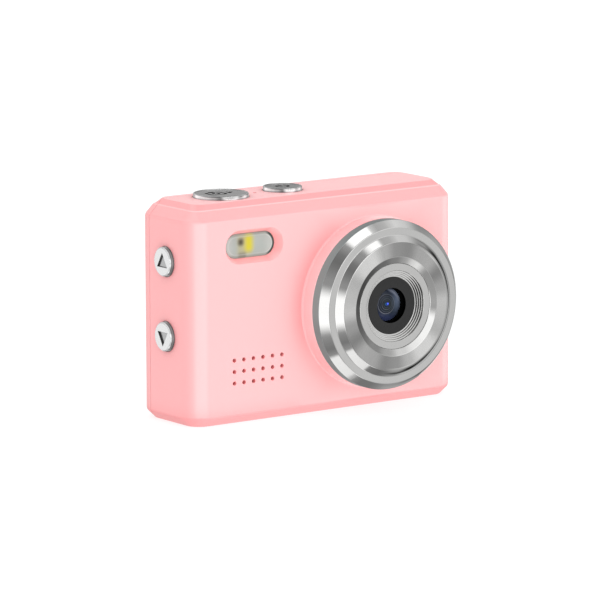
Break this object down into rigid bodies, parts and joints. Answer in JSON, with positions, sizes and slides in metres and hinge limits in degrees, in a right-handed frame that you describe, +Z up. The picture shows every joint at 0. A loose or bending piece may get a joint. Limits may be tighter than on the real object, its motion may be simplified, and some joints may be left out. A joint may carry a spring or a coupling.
{
  "type": "compact digital camera",
  "caption": "Pocket digital camera: pink two-shell body with bevelled edges, stepped turned-metal lens bezel, flash window, speaker grille, round keys on top, side and back, rear display.",
  "frame": {"origin": "mouth of the tripod bush, in the middle of the underside", "axes": "+X to the right when the lens faces the viewer, the lens looks along -Y, +Z up"},
  "size_m": [0.0862, 0.037, 0.0586],
  "materials": {
    "pink_shell": "satin moulded plastic with a very fine grain",
    "turned_metal": "turned and circular-brushed",
    "key_metal": "satin plated, polished rims",
    "black_plastic": "matt black, fine grain",
    "plunger_plastic": "plain",
    "clear_window": "clear moulded acrylic, lightly frosted",
    "dark_window": "glossy smoked acrylic",
    "lens_glass": "polished, blue-violet coating",
    "filter_glass": "polished",
    "white_plastic": "satin",
    "led_phosphor": "yellow phosphor dome",
    "lamp_lens": "dark moulded lamp",
    "board_green": "solder resist",
    "flex_amber": "polyimide film",
    "chip_black": "moulded epoxy",
    "battery_wrap": "foil pouch",
    "foam_black": "closed-cell foam",
    "display_panel": "panel in a black frame",
    "mesh_cloth": "fine woven dust mesh",
    "speaker_can": "painted basket and magnet cup",
    "steel": "plated steel",
    "brass": "knurled insert"
  },
  "bodies": {
    "camera": {"battery": "battery_wrap", "battery_tape": "foam_black", "bezel_ring": "turned_metal", "bezel_screws": "steel", "board_screws": "steel", "card_socket": "steel", "case_screws": "steel", "display_flex": "flex_amber", "display_gasket": "foam_black", "display_module": "display_panel", "display_window": "dark_window", "flash_board": "white_plastic", "flash_led": "led_phosphor", "flash_reflector": "white_plastic", "flash_window": "clear_window", "focus_lamp": "lamp_lens", "front_element": "lens_glass", "front_shell": "pink_shell", "image_processor": "chip_black", "image_sensor": "chip_black", "infrared_filter": "filter_glass", "lens_barrel": "black_plastic", "lens_holder": "black_plastic", "main_board": "board_green", "microphone": "black_plastic", "middle_element": "lens_glass", "rear_element": "lens_glass", "rear_shell": "pink_shell", "rear_switches": "black_plastic", "sensor_board": "board_green", "sensor_flex": "flex_amber", "side_key_board": "board_green", "side_switches": "black_plastic", "speaker": "speaker_can", "speaker_mesh": "mesh_cloth", "strap_pin": "steel", "threaded_ring": "turned_metal", "top_key_board": "board_green", "top_switches": "black_plastic", "trim_ring": "black_plastic", "tripod_bush": "brass", "usb_socket": "steel", "usb_tongue": "chip_black"},
    "shutter_key": {"shutter_button": "key_metal", "shutter_plunger": "plunger_plastic"},
    "power_key": {"power_button": "key_metal", "power_plunger": "plunger_plastic"},
    "up_key": {"up_button": "key_metal", "up_plunger": "plunger_plastic"},
    "down_key": {"down_button": "key_metal", "down_plunger": "plunger_plastic"},
    "play_key": {"play_button": "key_metal", "play_plunger": "plunger_plastic"},
    "menu_key": {"menu_button": "key_metal", "menu_plunger": "plunger_plastic"},
    "ok_key": {"ok_button": "key_metal", "ok_plunger": "plunger_plastic"},
    "mode_key": {"mode_button": "key_metal", "mode_plunger": "plunger_plastic"},
    "card": {"memory_card": "chip_black"}
  },
  "joints": [
    {"name": "shutter_press", "type": "slide", "parent": "camera", "child": "shutter_key", "axis": [0, 0, -1], "range_m": [0, 0.0005]},
    {"name": "power_press", "type": "slide", "parent": "camera", "child": "power_key", "axis": [0, 0, -1], "range_m": [0, 0.0005]},
    {"name": "up_press", "type": "slide", "parent": "camera", "child": "up_key", "axis": [1, 0, 0], "range_m": [0, 0.0004]},
    {"name": "down_press", "type": "slide", "parent": "camera", "child": "down_key", "axis": [1, 0, 0], "range_m": [0, 0.0004]},
    {"name": "play_press", "type": "slide", "parent": "camera", "child": "play_key", "axis": [0, -1, 0], "range_m": [0, 0.0004]},
    {"name": "menu_press", "type": "slide", "parent": "camera", "child": "menu_key", "axis": [0, -1, 0], "range_m": [0, 0.0004]},
    {"name": "ok_press", "type": "slide", "parent": "camera", "child": "ok_key", "axis": [0, -1, 0], "range_m": [0, 0.0004]},
    {"name": "mode_press", "type": "slide", "parent": "camera", "child": "mode_key", "axis": [0, -1, 0], "range_m": [0, 0.0004]},
    {"name": "card_slide", "type": "slide", "parent": "camera", "child": "card", "axis": [1, 0, 0], "range_m": [-0.0005, 0.0135]}
  ]
}
